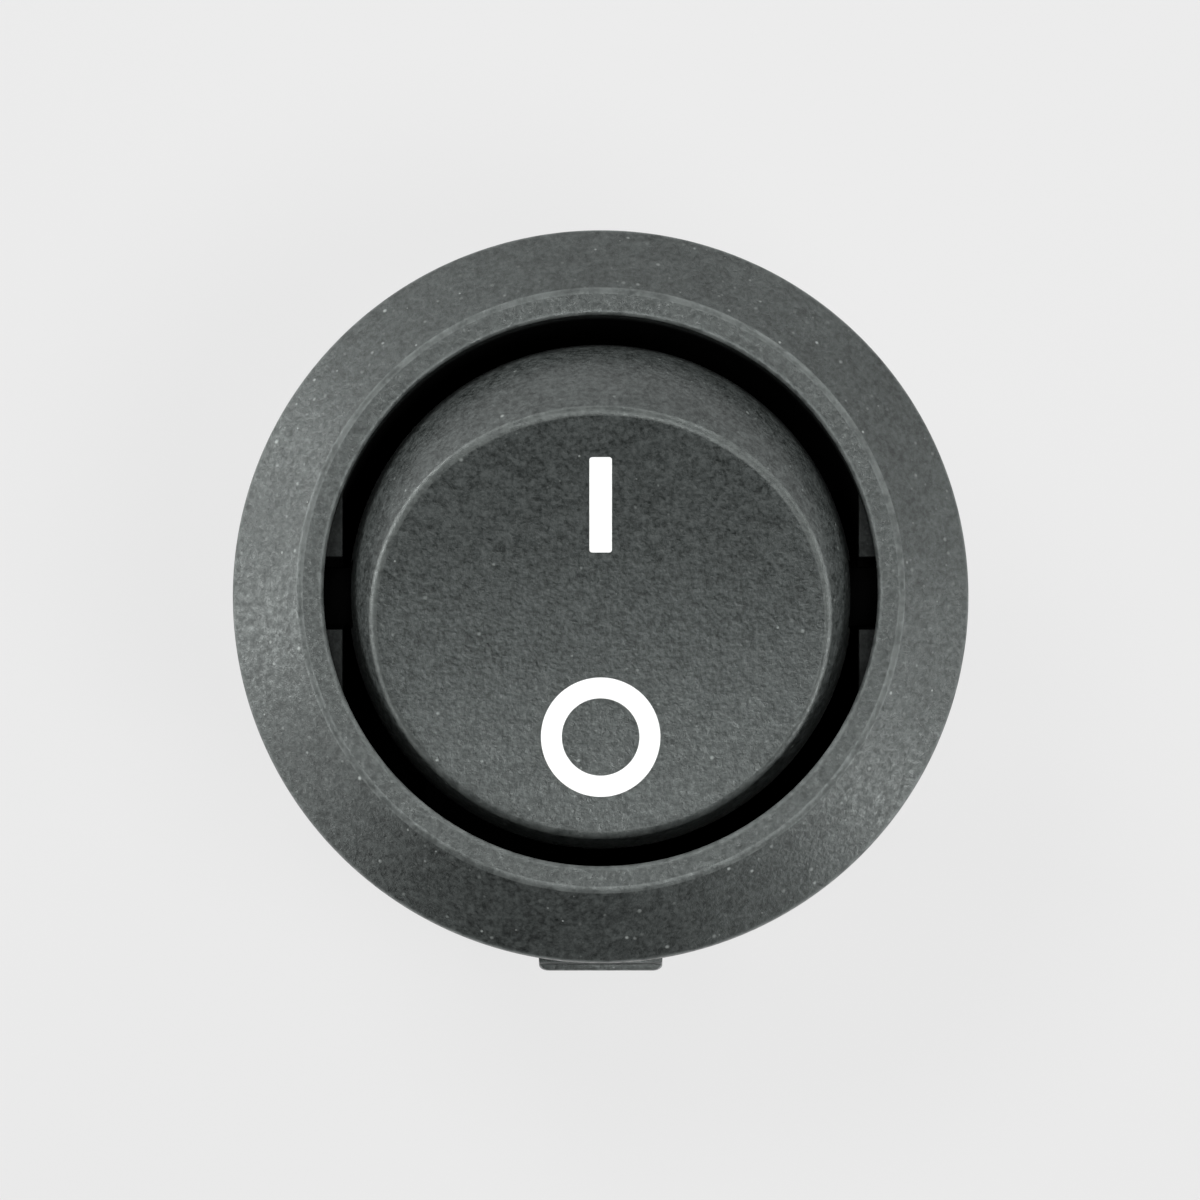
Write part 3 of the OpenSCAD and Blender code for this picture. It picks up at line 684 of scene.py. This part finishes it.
def markRounds(mesh, flat=0.9, tight=2.2, sharpFrom=35):
    # 0 to 1 on rounded outer edges, by the bend in radians per millimetre; sharp edges don't count
    work = bmesh.new()
    work.from_mesh(mesh)
    marks = [0.0] * len(work.verts)
    for edge in work.edges:
        if len(edge.link_faces) != 2:
            continue
        bend = edge.calc_face_angle_signed(0)
        apart = (edge.link_faces[0].calc_center_median() - edge.link_faces[1].calc_center_median()).length
        if 0 < bend < math.radians(sharpFrom) and apart > 0:
            share = min(1, max(0, (bend * mm / apart - flat) / (tight - flat)))
            for vert in edge.verts:
                marks[vert.index] = max(marks[vert.index], share)
    work.free()
    mesh.attributes.new("roundEdge", "FLOAT", "POINT").data.foreach_set("value", marks)


def finishPiece(piece, body, slot, nodes, merge=0.0001 * mm, sharpFrom=32):
    turnOutwards(piece.data, merge)
    piece.data.shade_smooth()
    piece.data.set_sharp_from_angle(angle=math.radians(sharpFrom))
    markRounds(piece.data)
    piece.data.materials.clear()
    piece.data.materials.append(slotMaterials[slot])
    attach(piece, body)
    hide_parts(*nodes)
    print("piece:", piece.name, len(piece.data.polygons), "faces")


# an outline's X, Y and Z go to Y, Z and X
alongX = Matrix(((0, 0, 1, 0), (1, 0, 0, 0), (0, 1, 0, 0), (0, 0, 0, 1)))
# an outline's X, Y and Z go to X, Z and -Y
alongY = Matrix(((1, 0, 0, 0), (0, 0, -1, 0), (0, 1, 0, 0), (0, 0, 0, 1)))
halfTurn = Matrix.Diagonal((-1, -1, 1, 1))

rockerValues = {
    "radius": 7.88 * mm,
    "dishHeight": 3.32 * mm,
    "dishRadius": 36 * mm,
    "wall": 1.1 * mm,
    "skirtDrop": 1.6 * mm,
    "edgeRound": 0.3 * mm,
    "skirtRound": 0.12 * mm,
    "webWidth": 1.2 * mm,
    "webDrop": 1.35 * mm,
    "bossSpread": 3.7 * mm,
    "bossRadius": 1.85 * mm,
    "bossDrop": 4.2 * mm,
    "boreRadius": 1.25 * mm,
    "boreDepth": 5.4 * mm,
    "trunnionRadius": 0.9 * mm,
    "trunnionEnd": 9.2 * mm,
    "trunnionRound": 0.15 * mm,
    "around": 240,           # from here on, numbers of steps
    "dishSteps": 28,
    "edgeSteps": 8,
    "sideSteps": 22,
    "underSteps": 16,
    "ceilingSteps": 12,
    "ballSteps": 48,
    "trunnionSteps": 72,
}


def dishAt(values, across, depth=0.0):
    # height of the dished face, or of its underside, at a distance from the pivot's axis
    r = values["dishRadius"]
    return values["dishHeight"] + r - math.sqrt((r + depth) ** 2 - across ** 2)


def findRoot(function, low, high, halvings=40):
    for _ in range(halvings):
        middle = (low + high) / 2
        if function(middle) > 0:
            high = middle
        else:
            low = middle
    return (low + high) / 2


def rockerProfile(values, angle):
    # half section at an angle: from the axis under the dish, round the skirt, to the axis on the dish
    outer, edge = values["radius"], values["edgeRound"]
    inner = outer - values["wall"]
    drop, lip = values["skirtDrop"], values["skirtRound"]
    lean = math.sin(angle)

    def rise(r):
        return r * lean * lean / math.sqrt(values["dishRadius"] ** 2 - (r * lean) ** 2)

    def dishGap(r):
        # from the dish to a rounding that touches the skirt's ball at this distance from the middle
        height = math.sqrt((outer - edge) ** 2 - r * r)
        return (dishAt(values, r * lean) - height) / math.sqrt(1 + rise(r) ** 2) - edge

    def ceilingGap(r):
        return dishAt(values, r * lean, values["wall"]) - math.sqrt(inner ** 2 - r * r)

    # the roots lie between places well inside and places just short of the edge
    roundAt = findRoot(dishGap, 0.3 * outer, 0.995 * (outer - edge))
    roundHeight = math.sqrt((outer - edge) ** 2 - roundAt ** 2)
    dishTurn = math.atan2(1, -rise(roundAt))
    sideTurn = math.atan2(roundHeight, roundAt)
    fillet = arc((roundAt, roundHeight), edge, dishTurn, sideTurn, values["edgeSteps"])
    shares = [k / values["dishSteps"] for k in range(values["dishSteps"])]
    dish = [(fillet[0][0] * share, dishAt(values, fillet[0][0] * share * lean)) for share in shares]
    side = arc((0, 0), outer, sideTurn, math.asin((lip - drop) / outer), values["sideSteps"])[1:]
    innerLow = math.asin((lip - drop) / inner)
    outerEnd, innerEnd, cut = side[-1][0], inner * math.cos(innerLow), cutOf(lip)
    skirt = [(outerEnd - cut, cut - drop), (outerEnd - lip, -drop),
             (innerEnd + lip, -drop), (innerEnd + cut, cut - drop)]
    ceilingEdge = findRoot(ceilingGap, 0.3 * inner, 0.999 * inner)
    under = arc((0, 0), inner, innerLow, math.acos(ceilingEdge / inner), values["underSteps"])
    shares = [1 - k / values["ceilingSteps"] for k in range(1, values["ceilingSteps"] + 1)]
    ceiling = [(ceilingEdge * share, dishAt(values, ceilingEdge * share * lean, values["wall"]))
               for share in shares]
    return (dish + fillet + side + skirt + under + ceiling)[::-1]


def makeWeb(values, inside, top):
    # wall under the dish along the pivot's axis, trimmed to a ball
    half, low = values["webWidth"] / 2, -values["webDrop"]
    web = block("web", (-inside, -half, low), (inside, half, top))
    n = values["ballSteps"]
    ball = [(inside * math.sin(math.pi * k / n), -inside * math.cos(math.pi * k / n)) for k in range(n + 1)]
    return combine(web, turned("ball", lambda angle: ball, 2 * n), "INTERSECT")


def makeTrunnion(values, inside, side):
    end, r, corner = values["trunnionEnd"], values["trunnionRadius"], values["trunnionRound"]
    cut = cutOf(corner)
    outline = [(0, inside), (r, inside), (r, end - corner), (r - cut, end - cut),
               (r - corner, end), (0, end)]
    return turned("trunnion", lambda angle: outline, values["trunnionSteps"],
                  Matrix.Rotation(side * math.pi / 2, 4, "Y"))


def makeRocker(values):
    piece = turned("rockerCap", lambda angle: rockerProfile(values, angle), values["around"])
    top = values["dishHeight"] - values["wall"] / 2
    inside = values["radius"] - values["wall"] / 2
    low = -values["bossDrop"]
    combine(piece, makeWeb(values, inside, top), "UNION")
    bossPlaces = [Matrix.Translation((side * values["bossSpread"], 0, 0)) for side in (-1, 1)]
    for side, place in zip((-1, 1), bossPlaces):
        combine(piece, prism("boss", circle(values["bossRadius"]), low, top, place), "UNION")
        combine(piece, makeTrunnion(values, inside, side), "UNION")
    for place in bossPlaces:
        bore = prism("bore", circle(values["boreRadius"]), low - overlap, low + values["boreDepth"], place)
        combine(piece, bore, "DIFFERENCE")
    piece.data.transform(offPose)
    finishPiece(piece, "rocker", "rocker_nylon", ["rocker"])


makeRocker(rockerValues)

markShape = {
    "offset": 3.7 * mm,
    "barLength": 3.1 * mm,
    "barWidth": 0.7 * mm,
    "barRound": 0.09 * mm,
    "ringRadius": 1.86 * mm,
    "ringWidth": 0.65 * mm,
    "lift": 0.012 * mm,      # stands this much above the dish
    "sink": 0.05 * mm,       # reaches this far into it
    "barSteps": 24,
    "endSteps": 6,
    "ringSteps": 128,
    "acrossSteps": 4,
}


def sheetOnDish(name, rows, closed, node):
    # a thin white layer over a grid of (x, y) points on the dish
    def layer(rise):
        return [(x, y, dishAt(rockerValues, y) + rise) for row in rows for x, y in row]

    across, n = len(rows[0]), len(rows)
    verts = layer(markShape["lift"]) + layer(-markShape["sink"])
    faces = []

    def at(i, j, under):
        return (i % n) * across + j + under * n * across

    for i in range(n if closed else n - 1):
        for j in range(across - 1):
            faces.append([at(i, j, 0), at(i, j + 1, 0), at(i + 1, j + 1, 0), at(i + 1, j, 0)])
            faces.append([at(i, j, 1), at(i + 1, j, 1), at(i + 1, j + 1, 1), at(i, j + 1, 1)])
        for j in (0, across - 1):
            faces.append([at(i, j, 0), at(i, j, 1), at(i + 1, j, 1), at(i + 1, j, 0)])
    if not closed:
        for i in (0, n - 1):
            for j in range(across - 1):
                faces.append([at(i, j, 0), at(i, j, 1), at(i, j + 1, 1), at(i, j + 1, 0)])
    piece = objectFrom(name, verts, faces, offPose)
    finishPiece(piece, "rocker", "mark_white", [node])


def makeBar(shape, shares):
    half, r, length, n = shape["barWidth"] / 2, shape["barRound"], shape["barLength"], shape["barSteps"]
    ends = [r * (1 - math.cos(math.pi / 2 * k / shape["endSteps"])) for k in range(shape["endSteps"] + 1)]
    places = ends + [r + (length - 2 * r) * k / n for k in range(1, n)]
    places += [length - end for end in ends[::-1]]
    rows = []
    for place in places:
        near = min(place, length - place)
        narrow = half if near >= r else half - r + math.sqrt(max(0, r * r - (r - near) ** 2))
        rows.append([(narrow * (2 * share - 1), shape["offset"] - length / 2 + place) for share in shares])
    sheetOnDish("onBar", rows, False, "on_mark")


def makeRing(shape, shares):
    radii = [shape["ringRadius"] - shape["ringWidth"] * share for share in shares]
    rows = []
    for k in range(shape["ringSteps"]):
        turn = 2 * math.pi * k / shape["ringSteps"]
        rows.append([(r * math.cos(turn), -shape["offset"] + r * math.sin(turn)) for r in radii])
    sheetOnDish("offRing", rows, True, "off_mark")


acrossShares = [k / markShape["acrossSteps"] for k in range(markShape["acrossSteps"] + 1)]
makeBar(markShape, acrossShares)
makeRing(markShape, acrossShares)

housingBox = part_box("housing")
housingValues = {
    "bezelRadius": housingBox[1][0],
    "bezelHeight": housingBox[1][2],
    "depth": -housingBox[0][2],
    "rimHeight": 0.4 * mm,
    "rimRound": 0.12 * mm,
    "rimFootRound": 0.05 * mm,
    "ridgeRadius": 9.41 * mm,
    "ridgeRound": 0.36 * mm,
    "barrelRadius": 10 * mm,
    "barrelRound": 0.1 * mm,      # where the barrel meets the bezel
    "footChamfer": 0.6 * mm,
    "footRound": 0.15 * mm,
    "cavityRadius": 8.64 * mm,
    "mouthRound": 0.12 * mm,
    "floor": 2.4 * mm,
    "floorRound": 0.2 * mm,
    "keyWidth": 2.1 * mm,
    "keyHeight": 0.7 * mm,
    "keyLength": 8 * mm,
    "keyTop": 0.1 * mm,
    "keyRound": 0.08 * mm,
    "padFace": 8.06 * mm,
    "padTop": 1.2 * mm,
    "padDrop": 2 * mm,
    "padRound": 0.06 * mm,
    "pocketRadius": 0.95 * mm,
    "pocketEnd": 9.35 * mm,
    "grooveWidth": 2.3 * mm,
    "grooveReach": 9.05 * mm,
    "grooveTop": 1.7 * mm,
    "recessReach": 9.1 * mm,
    "recessWidth": 4.68 * mm,
    "recessDepth": 9.4 * mm,
    "reliefReach": 11 * mm,
    "reliefDepth": 0.15 * mm,
    "guardGap": 0.06 * mm,
    "around": 288,
    "roundSteps": 8,
}

armValues = {
    "width": 3.88 * mm,
    "crest": 1.38 * mm,      # stands out this far from the barrel
    "crestDepth": 4.2 * mm,
    "tipOut": 0.5 * mm,
    "tipDepth": 1 * mm,
    "tipThickness": 0.62 * mm,
    "rootDepth": 9.4 * mm,
    "rootBlend": 1.36 * mm,
    "rootInset": 0.01 * mm,
    "thickness": 0.95 * mm,
    "steps": 5,
    "cornerRound": 0.3 * mm,
    "edgeRound": 0.07 * mm,
}

insideValues = {
    "polePitch": 7.4 * mm,
    "barrier": (1 * mm, 7.4 * mm, -4.31 * mm),                    # thickness, reach to each side, top
    "stopRib": (4 * mm, 5 * mm, -6.5 * mm),                       # from, to, top
    "support": (3.6 * mm, -4.85 * mm, -2.7 * mm, -8.91 * mm),     # width, from, to, top
    "slot": (4.804 * mm, 0.804 * mm),                             # closes on the tabs
    "slotTop": 0.05 * mm,                                         # reaches this far over the floor
    "loadPlace": -5.6 * mm,
}


def makeArm(values):
    # springy arm with a crest and a stair of small steps above it
    barrel = housingValues["barrelRadius"]
    crest = barrel + values["crest"]
    rise = (values["crestDepth"] - values["tipDepth"]) / (values["steps"] + 0.5)
    inward = (values["crest"] - values["tipOut"]) / values["steps"]
    root = -values["rootDepth"] - values["rootBlend"]
    side = [(barrel - values["thickness"], root), (barrel - values["rootInset"], root),
            (crest, -values["crestDepth"])]
    for i in range(values["steps"]):
        level = -values["crestDepth"] + (i + 0.5) * rise
        side += [(crest - i * inward, level), (crest - (i + 1) * inward, level)]
    tip = barrel + values["tipOut"]
    side += [(tip, -values["tipDepth"]), (tip - values["tipThickness"], -values["tipDepth"]),
             (crest - values["thickness"], -values["crestDepth"]),
             (barrel - values["thickness"], -values["rootDepth"])]
    half = values["width"] / 2
    arm = prism("arm", side, -half, half, alongX)
    # seen from above, the arm's outer corners are round; the plan starts well inside the arm
    start = crest - barrel
    plan = roundedOutline([(-half, start, 0), (half, start, 0), (half, crest, values["cornerRound"]),
                           (-half, crest, values["cornerRound"])])
    combine(arm, prism("plan", plan, -housingValues["depth"], 0), "INTERSECT")
    soften(arm, values["edgeRound"])
    return arm


def makePad(values, turn):
    # flat-faced pad round a pivot
    reach = values["cavityRadius"] + values["padRound"]
    pad = block("pad", (values["padFace"], -reach, -values["padDrop"]),
                (reach + overlap, reach, values["padTop"]), turn)
    soften(pad, values["padRound"])
    around = prism("around", circle(reach), -values["depth"], values["bezelHeight"])
    return combine(pad, around, "INTERSECT")


def makeShell(values, floor):
    barrel, cavity = values["barrelRadius"], values["cavityRadius"]
    bottom, foot = -values["depth"], values["footChamfer"]
    outline = roundedOutline([
        (0, bottom, 0),
        (barrel - foot, bottom, values["footRound"]),
        (barrel, bottom + foot, values["footRound"]),
        (barrel, 0, values["barrelRound"]),
        (values["bezelRadius"], 0, values["rimFootRound"]),
        (values["bezelRadius"], values["rimHeight"], values["rimRound"]),
        (values["ridgeRadius"], values["bezelHeight"], values["ridgeRound"]),
        (cavity, values["bezelHeight"], values["mouthRound"]),
        (cavity, floor, values["floorRound"]),
        (0, floor, 0),
    ], values["roundSteps"])
    profile = withGuards(outline, values["guardGap"])
    return turned("bezelHousing", lambda angle: profile, values["around"])


def sideCutters(values, turn):
    # arm recess, pivot pocket and entry groove on one side
    half, groove = values["recessWidth"] / 2, values["grooveWidth"] / 2
    start = values["cavityRadius"] - overlap
    return [
        block("recess", (-half, values["recessReach"], -values["recessDepth"]),
              (half, values["reliefReach"], values["reliefDepth"]), turn),
        prism("pocket", circle(values["pocketRadius"]), start, values["pocketEnd"],
              turn @ Matrix.Rotation(math.pi / 2, 4, "Y")),
        block("groove", (start, -groove, 0), (values["grooveReach"], groove, values["grooveTop"]), turn),
    ]


def makeKey(values):
    half, root = values["keyWidth"] / 2, values["barrelRadius"] - overlap / 2
    out, end = values["barrelRadius"] + values["keyHeight"], -values["keyLength"]
    outline = [(root, values["keyTop"]), (out, values["keyTop"]),
               (out, end + values["keyHeight"]), (root, end - overlap / 2)]
    key = prism("key", outline, -half, half, alongY)
    soften(key, values["keyRound"])
    return key


def addInside(piece, values, floor):
    # walls on the floor, and slots in it for the terminals
    reach = housingValues["cavityRadius"] + overlap / 2
    low = floor - overlap
    middles = [side * values["polePitch"] / 2 for side in (-1, 1)]
    thick, wide, top = values["barrier"]
    walls = [block("barrier", (-thick / 2, -wide, low), (thick / 2, wide, top))]
    near, far, top = values["stopRib"]
    walls.append(block("stopRib", (-reach, near, low), (reach, far, top)))
    width, start, end, top = values["support"]
    walls += [block("support", (middle - width / 2, start, low), (middle + width / 2, end, top))
              for middle in middles]
    for wall in walls:
        combine(wall, prism("inside", circle(reach), low, overlap), "INTERSECT")
        combine(piece, wall, "UNION")
    wide, thick = values["slot"]
    bottom = -housingValues["depth"] - overlap
    top = floor + values["slotTop"]
    for middle in middles:
        for place in (0, values["loadPlace"]):
            slot = block("slot", (middle - wide / 2, place - thick / 2, bottom),
                         (middle + wide / 2, place + thick / 2, top))
            combine(piece, slot, "DIFFERENCE")


def makeHousing(values):
    floor = values["floor"] - values["depth"]
    piece = makeShell(values, floor)
    cutters = []
    for turn in (Matrix.Identity(4), halfTurn):
        combine(piece, makePad(values, turn), "UNION")
        cutters += sideCutters(values, turn)
    for cutter in cutters:
        combine(piece, cutter, "DIFFERENCE")
    arm = makeArm(armValues)
    other = objectFrom("otherArm", [], [])
    other.data = arm.data.copy()
    other.data.transform(halfTurn)
    for part in (arm, other, makeKey(values)):
        combine(piece, part, "UNION")
    addInside(piece, insideValues, floor)
    finishPiece(piece, "case", "housing_nylon", ["housing"])


makeHousing(housingValues)


def dressFrame():
    # the frame's own solids get the materials of their slots
    slotOf = {part["node"]: part["material_slot"] for part in frame["record"]["subparts"]}
    for name, piece in frame["nodes"].items():
        for place in piece.material_slots:
            place.material = slotMaterials[slotOf[name]]


dressFrame()
print("frame dressed:", len(frame["nodes"]), "nodes")
